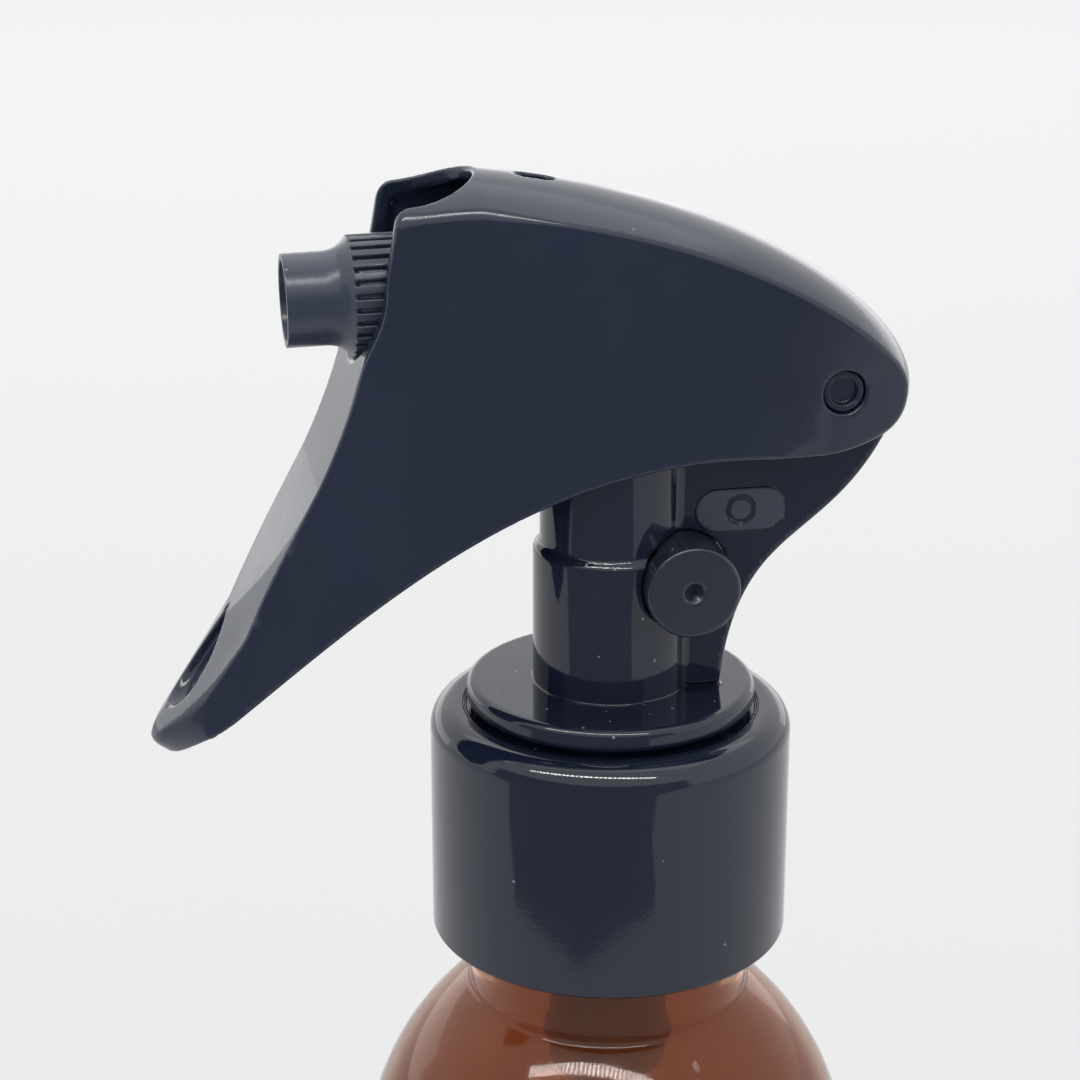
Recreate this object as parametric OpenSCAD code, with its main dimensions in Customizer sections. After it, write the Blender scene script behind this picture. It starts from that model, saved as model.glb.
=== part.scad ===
// Trigger spray bottle: a blown bottle with a screw-on mini trigger sprayer.
// Millimetres, +Z up, nozzle towards -X. The origin is the centre of the bottle's base.
// Heights named h_... are measured from the lower rim of the closure.

/* [Bottle] */
// Outer diameter of the bottle's body
bottle_od = 46; // [45:0.5:50]
// Wall thickness of the blown body
bottle_wall = 0.9; // [0.8:0.05:1.1]
// Height of the closure's lower rim above the floor
closure_z = 107; // [95:1:130]
// Outer diameter of the threaded neck, below the thread
neck_od = 25.4; // [25.2:0.1:25.6]
// Bore of the neck
neck_bore = 21.2; // [20.6:0.1:21.6]

/* [Closure] */
// Outer diameter of the screw closure
closure_od = 32; // [31:0.5:34]
// Height of the screw closure
closure_h = 21.5; // [21.3:0.1:21.6]
// Rise of the screw thread in one turn
thread_pitch = 4.23; // [4:0.01:4.5]

/* [Pump] */
// Outer diameter of the lower part of the stem housing
housing_od = 13.9; // [13.8:0.1:14.2]
// Outer diameter of the upper part of the stem housing
housing_top_od = 12.7; // [12.5:0.1:12.8]
// Thickness of the bracket that carries the hinge
web_t = 8; // [7:0.5:8.5]
// Outer diameter of the lock button
lock_d = 8.2; // [7.8:0.1:8.4]
// Outer diameter of the dip tube
dip_od = 4.2; // [4:0.1:4.6]

/* [Trigger] */
// Overall width of the trigger shell at the hinge
shell_w = 16; // [15.8:0.1:17]
// Wall thickness of the trigger shell
shell_t = 1.2; // [1:0.05:1.3]
// Diameter of the hinge pin
pin_d = 3.7; // [3.4:0.1:3.8]

/* [Nozzle] */
// Outer diameter of the nozzle's front tube
nozzle_od = 7.7; // [7.4:0.1:8]
// Outer diameter of the nozzle's ribbed grip
grip_od = 10.3; // [10:0.1:10.3]
// Number of ribs around the grip
grip_ribs = 28; // [20:2:32]
// Downward tilt of the nozzle's axis in degrees
nozzle_tilt = 1.2; // [0:0.1:1.5]

/* [Hidden] */
$fn = 72;

black = [0.09, 0.10, 0.14];
eps = 0.01;
run_gap = 0.05;              // radial clearance of a running fit

// bottle
bottle_r = bottle_od / 2;
neck_r = neck_od / 2;
neck_bore_r = neck_bore / 2;
heel_r = 4;                  // rounding between base and wall
base_t = 1.2;
shoulder_r = 32;             // radius of the shoulder's arc
h_shoulder = -28.5;          // top of the straight wall
h_neck_top = 15.5;           // sealing rim of the neck
arc_steps = 10;

// screw thread, on the neck and inside the closure
thread_tip_r = neck_r + 0.9;
closure_bore_r = neck_r + 1.3;
closure_tip_r = neck_r + 0.35;
h_neck_thread = 3.6;
h_cap_thread = h_neck_thread - thread_pitch / 2;
thread_step = 15;            // degrees between two sections of a thread

// closure
closure_r = closure_od / 2;
closure_edge_r = 2.1;        // rounding of the upper outer edge
closure_hole_r = 11;
closure_top_t = 1.8;
h_recess = closure_h - 1.1;  // floor of the ring groove around the flange
recess_r = 13.8;

// pump
flange_r = 12.7;
flange_t = 2.05;
h_flange = 21.7;             // underside of the visible flange
h_flange_top = h_flange + flange_t;
body_neck_r = 10.7;
socket_r = 8.9;
housing_bore_r = 5.4;
h_housing_step = 36.6;
h_housing_top = 50;
h_seat = 18.3;               // top of the cylinder's flange
seat_t = 1.6;
gasket_t = h_seat - seat_t - h_neck_top;
cyl_r = 5.4;
cyl_bore_r = 4.2;
h_cyl_floor = -11.5;
h_ball_seat = -14.5;
dip_r = dip_od / 2;
dip_socket_top = -17.5;
dip_socket_end = -27;
dip_foot = 5;                // height of the dip tube's end above the floor

// hinge: the trigger turns about this point
hinge_x = 18.4;
h_hinge = 51.2;
pin_r = pin_d / 2;
boss_r = 4;
collar_r = 3;                // spacer collars on both sides of the bracket
collar_half = 5.9;

// lock button
lock_x = 5.4;
h_lock = 34.4;
lock_r = lock_d / 2;
lock_front = -8.8;
lock_back = 4.2;

// piston and its rod
rod_r = 2.4;
h_rod_top = 54;
h_rod_foot = 7.6;
h_piston = 9.2;
piston_h = 5.7;
ball_in_r = 1.9;
ball_out_r = 1.3;
cage_t = 2;
spring_r = 2.9;
spring_wire = 0.6;
spring_turns = 8;
spring_sides = 8;
spring_steps = 16;           // sections in one turn of the spring

// spout and nozzle: s runs forward along the nozzle's axis from the point nozzle_x, h_nozzle
nozzle_x = -16;
h_nozzle = 59.75;
barrel_r = 3.6;
tip_r = 2.6;
hub_r = 4.3;
h_hub = 46;
s_front = 12.1;
s_grip = 6.3;
s_flare = 8.3;
s_back = -0.5;
s_shoulder = 3;
s_tip = 9.4;
peg_r = 1.5;
h_peg = 57;
peg_end = 6.2;

// trigger shell: the crown is part of a ring about an axis along Y
crown_x = -13;
h_crown = 18;
crown_r = 51.8;
crown_edge = 3;              // height of the rounding at the crown's sides
shell_half = shell_w / 2;
pad_r = 1.3;

// a cubic curve through p0 and p3, leaving towards p1 and arriving from p2
function curve(p0, p1, p2, p3, n) =
    [for (i = [0:n]) let (t = i / n, u = 1 - t)
        u * u * u * p0 + 3 * t * u * u * p1 + 3 * t * t * u * p2 + t * t * t * p3];

// an arc of radius r about c, from angle a0 to a1
function arc(c, r, a0, a1, n) =
    [for (i = [0:n]) let (a = a0 + (a1 - a0) * i / n) c + r * [cos(a), sin(a)]];

// a list without its first entry, for a curve that starts where the last one ended
function tail(v) = [for (i = [1:len(v) - 1]) v[i]];

// a polygon in X and Z, made as thick along Y as t and centred there
module side_plate(points, t) {
    rotate([90, 0, 0]) linear_extrude(t, center = true) polygon(points);
}

// a cylinder along Y from y0 to y1
module cross_pin(x, z, r, y0, y1) {
    translate([x, y0, z]) rotate([-90, 0, 0]) cylinder(r = r, h = y1 - y0);
}

// raises a piece that is drawn from the closure's lower rim
module above_closure() {
    translate([0, 0, closure_z]) children();
}

// puts a piece that is drawn upright onto the nozzle's axis, facing forward
module on_nozzle_axis() {
    translate([nozzle_x, 0, closure_z + h_nozzle]) rotate([0, -90 - nozzle_tilt, 0]) children();
}

// one ridge of a screw thread: root and tip radius, height at its start, turn in degrees
module thread_ridge(root_r, tip_r, h0, turn, root_w, tip_w) {
    n = turn / thread_step;
    fade = 3;                // sections over which each end runs out
    rings = [for (i = [0:n])
        let (a = i * thread_step, h = h0 + thread_pitch * a / 360,
             k = min(1, (i + 0.4) / fade, (n - i + 0.4) / fade),
             r = root_r + (tip_r - root_r) * k)
        [for (p = [[root_r, -root_w / 2], [r, -tip_w / 2], [r, tip_w / 2], [root_r, root_w / 2]])
            [p[0] * cos(a), p[0] * sin(a), h + p[1]]]];
    points = [for (ring = rings) each ring];
    sides = [for (i = [0:n - 1], j = [0:3])
        let (a = 4 * i + j, b = 4 * i + (j + 1) % 4)
        each [[a, b, b + 4], [a, b + 4, a + 4]]];
    caps = [[0, 3, 2], [0, 2, 1], [4 * n, 4 * n + 1, 4 * n + 2], [4 * n, 4 * n + 2, 4 * n + 3]];
    flip = tip_r < root_r;
    polyhedron(points, [for (f = concat(sides, caps)) flip ? [f[0], f[2], f[1]] : f]);
}

// ---- bottle ----

function shoulder_angle(r, rho) = acos((r - bottle_r + shoulder_r) / rho);

module bottle() {
    shoulder_c = [bottle_r - shoulder_r, closure_z + h_shoulder];
    inner_rho = shoulder_r - bottle_wall;
    outer = concat(
        [[0, 0]],
        arc([bottle_r - heel_r, heel_r], heel_r, -90, 0, arc_steps),
        arc(shoulder_c, shoulder_r, 0, shoulder_angle(neck_r, shoulder_r), arc_steps),
        [[neck_r, closure_z + h_neck_top]]);
    inner = concat(
        [[neck_bore_r, closure_z + h_neck_top]],
        arc(shoulder_c, inner_rho, shoulder_angle(neck_bore_r, inner_rho), 0, arc_steps),
        arc([bottle_r - heel_r, heel_r], heel_r - bottle_wall, 0, -70, arc_steps),
        [[0, base_t]]);
    color([0.45, 0.22, 0.12, 0.6]) {
        rotate_extrude() polygon(concat(outer, inner));
        above_closure() thread_ridge(neck_r - 0.3, thread_tip_r, h_neck_thread, 480, 2.6, 1.1);
    }
}

// ---- closure and gasket ----

module closure() {
    profile = concat(
        [[closure_bore_r, 0], [closure_r, 0]],
        arc([closure_r - closure_edge_r, closure_h - closure_edge_r], closure_edge_r, 0, 90, 8),
        [[recess_r, closure_h], [recess_r, h_recess], [closure_hole_r, h_recess],
         [closure_hole_r, h_recess - closure_top_t], [closure_bore_r, h_recess - closure_top_t]]);
    color(black) above_closure() {
        rotate_extrude() polygon(profile);
        thread_ridge(closure_bore_r + 0.3, closure_tip_r, h_cap_thread, 420, 2.2, 0.8);
    }
}

module gasket() {
    color([0.85, 0.84, 0.8]) above_closure() translate([0, 0, h_neck_top]) difference() {
        cylinder(r = 13.4, h = gasket_t);
        translate([0, 0, -1]) cylinder(r = 9, h = gasket_t + 2);
    }
}

// ---- pump body: flange, stem housing and hinge bracket in one moulding ----

module stem_housing() {
    foot_r = housing_od / 2 + 0.7;
    low_r = housing_od / 2;
    top_r = housing_top_od / 2;
    step = 0.6;
    rotate_extrude() polygon(concat(
        [[socket_r, h_seat + run_gap], [body_neck_r, h_seat + run_gap], [body_neck_r, h_flange]],
        [[flange_r - 0.3, h_flange]],
        arc([flange_r - 0.5, h_flange_top - 0.6], 0.5, 0, 90, 4),
        [[foot_r, h_flange_top - 0.1], [low_r, h_flange_top + 0.7], [low_r, h_housing_step - step]],
        arc([low_r - step, h_housing_step - step], step, 0, 90, 4),
        [[top_r, h_housing_step + 0.1], [top_r, h_housing_top], [housing_bore_r, h_housing_top],
         [housing_bore_r, h_flange], [socket_r, h_flange]]));
}

module hinge_web() {
    rear = curve([8.9, h_flange_top - 0.4], [10.4, 39.2], [17.9, 35.9], [22.5, 46.5], 14);
    top = [[hinge_x - 1, h_hinge + boss_r - 0.2], [housing_bore_r, h_housing_top - 1],
           [housing_bore_r, h_flange_top - 0.4]];
    side_plate(concat(rear, top), web_t);
    cross_pin(hinge_x, h_hinge, boss_r, -web_t / 2, web_t / 2);
    cross_pin(hinge_x, h_hinge, collar_r, -collar_half, collar_half);
}

// the raised mark plate beside the lock, on both faces of the bracket
module mark_plate() {
    plate_l = 7.6;
    plate_r = 1.9;
    plate_h = 0.25;
    translate([10.5, 0, 40.2]) for (side = [-1, 1]) {
        y0 = side > 0 ? web_t / 2 - eps : -web_t / 2 - plate_h;
        for (end = [-1, 1]) {
            cross_pin(end * (plate_l / 2 - plate_r), 0, plate_r, y0, y0 + plate_h + eps);
        }
        translate([plate_r - plate_l / 2, y0, -plate_r])
            cube([plate_l - 2 * plate_r, plate_h + eps, 2 * plate_r]);
    }
}

module pump_body() {
    color(black) above_closure() difference() {
        union() {
            stem_housing();
            hinge_web();
            mark_plate();
        }
        cross_pin(lock_x, h_lock, lock_r + run_gap, -10, 10);
        cross_pin(hinge_x, h_hinge, pin_r + run_gap, -10, 10);
    }
}

// ---- inside the neck: cylinder, guide, seals, valves and dip tube ----

module pump_cylinder() {
    collar_r = socket_r - run_gap;
    foot_r = dip_r + 1.4;
    color([0.88, 0.88, 0.86]) above_closure() difference() {
        union() {
            rotate_extrude() polygon([
                [0, dip_socket_end], [foot_r, dip_socket_end], [foot_r, dip_socket_top + 0.5],
                [cyl_r, h_ball_seat], [cyl_r, h_seat - seat_t], [13.4, h_seat - seat_t],
                [13.4, h_seat], [collar_r, h_seat], [collar_r, h_flange - 0.2],
                [collar_r - 1.6, h_flange - 0.2], [collar_r - 1.6, h_seat], [0, h_seat]]);
        }
        rotate_extrude() polygon([
            [0, dip_socket_top - eps], [1.3, dip_socket_top - eps], [1.3, h_ball_seat - 1.5],
            [2.6, h_ball_seat], [2.6, h_cyl_floor], [cyl_bore_r, h_cyl_floor],
            [cyl_bore_r, h_seat + 1], [0, h_seat + 1]]);
        translate([0, 0, dip_socket_end - 1]) cylinder(r = dip_r, h = dip_socket_top - dip_socket_end + 1);
        // vent hole, covered by the piston while the trigger is at rest
        translate([0, 0, h_piston + 2.8]) rotate([0, 90, 0]) cylinder(r = 0.5, h = 10);
    }
}

module stem_guide() {
    color([0.88, 0.88, 0.86]) above_closure() rotate_extrude() polygon([
        [rod_r + 0.1, h_piston + piston_h + 0.3], [cyl_bore_r - run_gap, h_piston + piston_h + 0.3],
        [cyl_bore_r - run_gap, h_seat], [7.2, h_seat], [7.2, h_seat + 1.8],
        [rod_r + 0.1, h_seat + 1.8]]);
}

module vent_seal() {
    color([0.75, 0.75, 0.72]) above_closure() translate([0, 0, h_seat + 1.8]) difference() {
        cylinder(r = 5, h = 0.8);
        translate([0, 0, -1]) cylinder(r = rod_r + run_gap, h = 3);
    }
}

module ball_cage() {
    color([0.88, 0.88, 0.86]) above_closure() translate([0, 0, h_cyl_floor]) difference() {
        cylinder(r = cyl_bore_r - run_gap, h = cage_t);
        translate([0, 0, -1]) cylinder(r = 1, h = cage_t + 2);
        for (a = [0, 90]) rotate([0, 0, a]) cube([5, 0.9, 3 * cage_t], center = true);
    }
}

module inlet_ball() {
    color("silver") above_closure() translate([0, 0, h_ball_seat]) sphere(r = ball_in_r);
}

module dip_tube() {
    top = closure_z + dip_socket_top - 0.1;
    color([0.9, 0.9, 0.9]) difference() {
        translate([0, 0, dip_foot]) cylinder(r = dip_r, h = top - dip_foot);
        translate([0, 0, dip_foot - 1]) cylinder(r = dip_r - 0.6, h = top - dip_foot + 2);
        // the lower end is cut at a slant, so that it can't seal against the base
        translate([-dip_r, 0, dip_foot]) rotate([0, 45, 0]) cube([3, 10, 3], center = true);
    }
}

// ---- moving stem: rod, piston, spring ----

module piston_rod() {
    bore_r = 1.1;
    color([0.86, 0.86, 0.84]) above_closure() difference() {
        rotate_extrude() polygon([
            [0, h_rod_foot - 2], [2.1, h_rod_foot - 2], [2.1, h_rod_foot], [3.3, h_rod_foot],
            [3.3, h_piston], [rod_r, h_piston], [rod_r, h_rod_top], [0, h_rod_top]]);
        translate([0, 0, h_rod_foot - 1.6]) cylinder(r = bore_r, h = h_rod_top);
        cross_pin(0, h_rod_foot - 0.9, 0.5, -4, 4);
    }
}

module piston() {
    lip_r = cyl_bore_r - 0.03;
    waist_r = 3.5;
    color([0.95, 0.95, 0.93]) above_closure() translate([0, 0, h_piston]) rotate_extrude() polygon([
        [rod_r, 0], [waist_r - 0.5, 0], [waist_r, 0.9], [lip_r - 0.3, 0], [lip_r, 0.1], [lip_r, 0.6],
        [waist_r, 1.9], [waist_r, piston_h - 1.9], [lip_r, piston_h - 0.6], [lip_r, piston_h - 0.1],
        [lip_r - 0.3, piston_h], [waist_r, piston_h - 0.9], [waist_r - 0.5, piston_h],
        [rod_r, piston_h]]);
}

// the wire's height at a share t of its length: each end turn lies flat
function spring_rise(t) =
    let (flat_t = 1 / spring_turns) max(0, min(1, (t - flat_t) / (1 - 2 * flat_t)));

module return_spring() {
    foot = h_cyl_floor + cage_t;
    travel = h_rod_foot - foot - 3 * spring_wire;
    n = spring_turns * spring_steps;
    wire_r = spring_wire / 2;
    rings = [for (i = [0:n])
        let (t = i / n, a = 360 * i / spring_steps,
             lift = spring_wire * min(1, t * spring_turns)
                  + spring_wire * max(0, 1 - (1 - t) * spring_turns),
             h = foot + wire_r + lift + travel * spring_rise(t) - 0.001)
        [for (j = [0:spring_sides - 1])
            let (b = 360 * j / spring_sides, r = spring_r + wire_r * cos(b))
            [r * cos(a), r * sin(a), h + wire_r * sin(b)]]];
    points = [for (ring = rings) each ring];
    sides = [for (i = [0:n - 1], j = [0:spring_sides - 1])
        let (a = spring_sides * i + j, b = spring_sides * i + (j + 1) % spring_sides)
        each [[a, b + spring_sides, b], [a, a + spring_sides, b + spring_sides]]];
    first = [for (j = [0:spring_sides - 1]) j];
    last = [for (j = [0:spring_sides - 1]) spring_sides * (n + 1) - 1 - j];
    color("gainsboro") above_closure() polyhedron(points, concat(sides, [first, last]));
}

module outlet_ball() {
    color("silver") above_closure() translate([0, 0, h_rod_top + 0.75]) sphere(r = ball_out_r);
}

// ---- spout and nozzle ----

module spout() {
    color(black) difference() {
        union() {
            above_closure() translate([0, 0, h_hub]) cylinder(r = hub_r, h = h_nozzle + 1 - h_hub);
            on_nozzle_axis() {
                translate([0, 0, -20.6]) cylinder(r = barrel_r, h = 20.6 + s_shoulder);
                cylinder(r = tip_r, h = s_tip);
            }
            above_closure() for (side = [-1, 1]) {
                cross_pin(0, h_peg, peg_r, side > 0 ? 3 : -peg_end, side > 0 ? peg_end : -3);
            }
        }
        above_closure() {
            translate([0, 0, h_hub - 1]) cylinder(r = rod_r, h = h_rod_top - h_hub + 1);
            translate([0, 0, h_rod_top - eps]) cylinder(r = 1.7, h = h_nozzle - h_rod_top);
        }
        on_nozzle_axis() {
            translate([0, 0, -16.5]) cylinder(r = 1.1, h = 16.5 + s_tip + 1);
            translate([0, 0, s_tip - 3]) cylinder(r = 1.6, h = 4);
        }
    }
}

module swirl_insert() {
    color([0.85, 0.85, 0.82]) on_nozzle_axis() translate([0, 0, s_tip - 3]) difference() {
        cylinder(r = 1.6, h = 3);
        for (a = [0, 120, 240]) rotate([0, 0, a]) translate([1.3, 0, -1]) cylinder(r = 0.35, h = 5);
        translate([0, 0, 2.6]) cylinder(r = 0.8, h = 1);
    }
}

module nozzle() {
    grip_r = grip_od / 2;
    front_r = nozzle_od / 2;
    groove_d = 0.45;
    s_wall = s_tip + 0.2;
    flare = curve([grip_r, s_grip], [grip_r - 0.9, s_grip + 0.5], [front_r, s_flare - 0.8],
                  [front_r, s_flare], 6);
    color(black) on_nozzle_axis() difference() {
        rotate_extrude() polygon(concat(
            [[barrel_r + run_gap, s_back], [grip_r - 0.3, s_back], [grip_r, s_back + 0.3]],
            flare,
            [[front_r, s_front], [front_r - 0.5, s_front], [front_r - 0.65, s_wall + 1],
             [0.35, s_wall + 1], [0.35, s_wall], [tip_r + run_gap, s_wall],
             [tip_r + run_gap, s_shoulder + 0.2], [barrel_r + run_gap, s_shoulder + 0.2],
             [barrel_r + run_gap, 1.25], [4.5, 1.25], [4.5, 0.25], [barrel_r + run_gap, 0.25]]));
        for (i = [0:grip_ribs - 1]) rotate([0, 0, 360 * i / grip_ribs])
            translate([grip_r - groove_d, -0.28, s_back - 1]) cube([1, 0.56, s_grip - s_back + 0.6]);
    }
}

module nozzle_seal() {
    seal_r = 0.42;
    color([0.1, 0.1, 0.1]) on_nozzle_axis() translate([0, 0, 0.75]) rotate_extrude()
        translate([barrel_r + run_gap + seal_r, 0]) circle(r = seal_r, $fn = 32);
}

// ---- trigger shell and its pin ----

// the ring that the crown is part of, with rounded sides
module crown_ring(r, half) {
    top = curve([r - crown_edge, half], [r - 0.8, half - 0.4], [r - 0.1, half / 2], [r, 0], 6);
    bottom = [for (i = [len(top) - 2:-1:0]) [top[i][0], -top[i][1]]];
    translate([crown_x, 0, h_crown]) rotate([90, 0, 0]) rotate_extrude($fn = 144)
        polygon(concat([[3, half]], top, bottom, [[3, -half]]));
}

// side view of the shell, drawn inwards by t; the cavity runs out through the lower edge
module shell_side(t) {
    front = curve([-20.3 + t, 62], [-20.9 + t, 56], [-29.4 + t, 38], [-40.2 + 2 * t, 21.5 + 2 * t], 12);
    lower = t > 0
        ? [[-33 + t, 15], [hinge_x + 8.2 - t, 15]]
        : concat(tail(curve([-40.2, 21.5], [-40.8, 19.8], [-39.2, 19], [-37.5, 21.9], 4)),
                 tail(curve([-37.5, 21.9], [-21.5, 34.1], [-8.6, 46.6], [11.3, 45.6], 10)),
                 curve([18.4, 45.6], [23.4, 45.6], [26.4, 47], [26.6, 50.2], 6));
    side_plate(concat([[-19 + t, 75], [-19.2 + t, 69]], front, lower, [[hinge_x + 8.2 - t, 75]]),
               2 * shell_half);
}

// top view of the shell, drawn inwards by t
module shell_plan(t) {
    half = shell_half - t;
    side = [[-41, 3.4 - t], [-38, 5.1 - t], [-33.5, 6.6 - t], [-15, 6.6 - t], [-7, half],
            [22, half], [27, half - 1.6]];
    linear_extrude(90) polygon(concat(side, [for (i = [len(side) - 1:-1:0]) [side[i][0], -side[i][1]]]));
}

module shell_form(t) {
    intersection() {
        crown_ring(crown_r - t, shell_half - t);
        shell_side(t);
        shell_plan(t);
    }
}

// the opening for the nozzle: a slot through the crown with a round end, over a round trough
module nozzle_opening() {
    half = grip_od / 2 + 0.2;
    end_x = -17.6;
    slot = concat([[-40, half], [-40, -half]], arc([end_x, 0], half, -90, 90, 16));
    translate([0, 0, closure_z + h_nozzle]) linear_extrude(20) polygon(slot);
    on_nozzle_axis() translate([0, 0, -1]) cylinder(r = half - run_gap, h = 24);
}

module trigger_shell() {
    h_pad = h_peg + peg_r + pad_r + 0.1;
    h_hole = 63;
    color(black) difference() {
        above_closure() union() {
            difference() {
                shell_form(0);
                shell_form(shell_t);
            }
            // pads that push on the spout's pegs
            cross_pin(0, h_pad, pad_r, -shell_half + 0.5, -hub_r - 0.4);
            cross_pin(0, h_pad, pad_r, hub_r + 0.4, shell_half - 0.5);
        }
        nozzle_opening();
        above_closure() {
            // small oblong hole in the crown
            for (x = [-7.6, -6.2]) translate([x, 0, h_hole]) cylinder(r = 1, h = 20);
            translate([-7.6, -0.95, h_hole]) cube([1.4, 1.9, 20]);
            cross_pin(hinge_x, h_hinge, pin_r + run_gap, -20, 20);
        }
    }
}

module hinge_pin() {
    pin_half = shell_half - 0.8;
    color(black) above_closure() difference() {
        cross_pin(hinge_x, h_hinge, pin_r, -pin_half, pin_half);
        cross_pin(hinge_x, h_hinge, 0.9, -pin_half - 1, 1.5 - pin_half);
        cross_pin(hinge_x, h_hinge, 0.9, pin_half - 1.5, pin_half + 1);
    }
}

// ---- lock button: a cross plug that slides through the bracket beside the stem ----

module lock_button() {
    waist_x = rod_r + 0.3;   // the flat that lets the stem pass
    color(black) above_closure() difference() {
        cross_pin(lock_x, h_lock, lock_r, lock_front, lock_back);
        translate([waist_x - 10, -6.2, h_lock - 10]) cube([10, 9.2, 20]);
        translate([lock_x, lock_front - eps, h_lock]) rotate([-90, 0, 0])
            cylinder(r1 = 0.9, r2 = 0, h = 1.1);
    }
}

bottle();
closure();
gasket();
pump_body();
pump_cylinder();
stem_guide();
vent_seal();
piston_rod();
piston();
return_spring();
ball_cage();
inlet_ball();
dip_tube();
spout();
outlet_ball();
swirl_insert();
nozzle();
nozzle_seal();
trigger_shell();
hinge_pin();
lock_button();
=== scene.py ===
"""Spray bottle with a mini trigger sprayer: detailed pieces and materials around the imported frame.

Shapes are worked out in millimetres. x runs from the nozzle (-) to the hinge (+), y across the
trigger, and h is the height above the closure's lower rim. The meshes are put in metres at the end.
"""
import itertools
import math

import bmesh
import bpy
import numpy as np
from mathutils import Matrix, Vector


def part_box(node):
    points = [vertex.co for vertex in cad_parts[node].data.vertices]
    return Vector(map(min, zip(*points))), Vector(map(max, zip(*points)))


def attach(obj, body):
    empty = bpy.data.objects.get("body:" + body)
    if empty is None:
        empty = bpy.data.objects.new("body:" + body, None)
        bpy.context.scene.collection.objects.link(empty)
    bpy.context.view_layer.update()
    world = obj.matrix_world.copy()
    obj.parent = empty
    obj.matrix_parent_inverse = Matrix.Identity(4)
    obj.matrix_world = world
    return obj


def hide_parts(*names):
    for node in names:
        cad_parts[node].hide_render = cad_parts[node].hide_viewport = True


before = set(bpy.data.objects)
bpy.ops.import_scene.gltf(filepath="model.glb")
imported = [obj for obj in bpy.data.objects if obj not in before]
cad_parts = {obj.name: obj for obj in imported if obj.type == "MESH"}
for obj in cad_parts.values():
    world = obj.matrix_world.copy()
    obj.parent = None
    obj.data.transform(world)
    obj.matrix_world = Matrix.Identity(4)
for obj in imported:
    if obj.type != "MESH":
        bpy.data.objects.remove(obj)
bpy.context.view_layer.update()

MM = 0.001
RIM_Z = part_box("closure")[0].z          # the closure's lower rim, where h is 0
COARSE = 1.0
SMALL = 1e-6


def node_size(node):
    """Lowest and highest corner of a CAD node in millimetres, with h for the height."""
    low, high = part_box(node)
    shift = Vector((0, 0, RIM_Z))
    return (low - shift) / MM, (high - shift) / MM


# ---------------------------------------------------------------- sizes taken from the frame
_, closure_high = node_size("closure")
pin_low, pin_high = node_size("hinge_pin")
button_low, button_high = node_size("lock_button")
shell_low, shell_high = node_size("trigger_shell")
bottle_low, bottle_high = node_size("bottle")

CLOSURE_R = closure_high.x
CLOSURE_H = closure_high.z
HINGE = ((pin_low.x + pin_high.x) / 2, (pin_low.z + pin_high.z) / 2)
PIN_R = (pin_high.x - pin_low.x) / 2
PIN_HALF = pin_high.y
BUTTON_R = (button_high.z - button_low.z) / 2
BUTTON = (button_high.x - BUTTON_R, (button_low.z + button_high.z) / 2)
SHELL_HALF = shell_high.y
BOTTLE_R = bottle_high.x
BOTTLE_FLOOR = bottle_low.z
NECK_TOP = bottle_high.z

WEB_HALF = 4.0                          # half the hinge bracket's thickness
PLATE = (10.45, 40.15)                  # middle of the mark plates on the bracket
NOZZLE = (-16.0, 59.75)                 # the point where s is 0 on the nozzle's axis
TILT = math.radians(1.2)                # the nozzle's axis points this much down at the front


# ---------------------------------------------------------------- plane curves
def curve(p0, p1, p2, p3, n=24):
    """Points of a cubic curve, without its last point, so that curves can be chained."""
    t = np.arange(n)[:, None] / n
    u = 1 - t
    p0, p1, p2, p3 = (np.array(p, float) for p in (p0, p1, p2, p3))
    return u**3 * p0 + 3 * t * u * u * p1 + 3 * t * t * u * p2 + t**3 * p3


def path(*parts):
    """One closed outline from points and curves."""
    return np.vstack([np.atleast_2d(np.array(p, float)) for p in parts])


class Outline:
    """Signed distance to a closed outline, negative inside, from a table with cubic interpolation."""

    def __init__(self, points, low, high, pitch=0.2):
        self.low, self.pitch = np.array(low, float), pitch
        count = np.ceil((np.array(high, float) - self.low) / pitch).astype(int) + 4
        u = self.low[0] + (np.arange(count[0])[:, None] - 1) * pitch
        v = self.low[1] + (np.arange(count[1])[None, :] - 1) * pitch
        nearest = np.full((count[0], count[1]), 1e9)
        inside = np.zeros((count[0], count[1]), bool)
        for (x0, y0), (x1, y1) in zip(points, np.roll(points, -1, 0)):
            dx, dy = x1 - x0, y1 - y0
            length = dx * dx + dy * dy
            if length < SMALL:
                continue
            t = np.clip(((u - x0) * dx + (v - y0) * dy) / length, 0, 1)
            nearest = np.minimum(nearest, (u - x0 - t * dx) ** 2 + (v - y0 - t * dy) ** 2)
            if y0 != y1:
                spans = (v >= min(y0, y1)) & (v < max(y0, y1))
                inside ^= spans & (u < x0 + (v - y0) * dx / dy)
        self.table = np.where(inside, -1.0, 1.0) * np.sqrt(nearest)

    @staticmethod
    def weights(t):
        """Shares of the four table points round a place, for a smooth cubic through them."""
        return (0.5 * t * (-1 + t * (2 - t)), 1 + 0.5 * t * t * (-5 + 3 * t),
                0.5 * t * (1 + t * (4 - 3 * t)), 0.5 * t * t * (-1 + t))

    def __call__(self, u, v):
        u, v = np.broadcast_arrays((u - self.low[0]) / self.pitch, (v - self.low[1]) / self.pitch)
        u = np.clip(u, 0, self.table.shape[0] - 4 + 0.999)
        v = np.clip(v, 0, self.table.shape[1] - 4 + 0.999)
        i, j = u.astype(int), v.astype(int)
        wu, wv = self.weights(u - i), self.weights(v - j)
        return sum(wu[a] * wv[b] * self.table[i + a, j + b] for a in range(4) for b in range(4))


# ---------------------------------------------------------------- distance fields
def smooth(a, b, t):
    """0 where t is below a, 1 where it is above b, smooth in between."""
    k = np.clip((t - a) / (b - a), 0, 1)
    return k * k * (3 - 2 * k)


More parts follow.
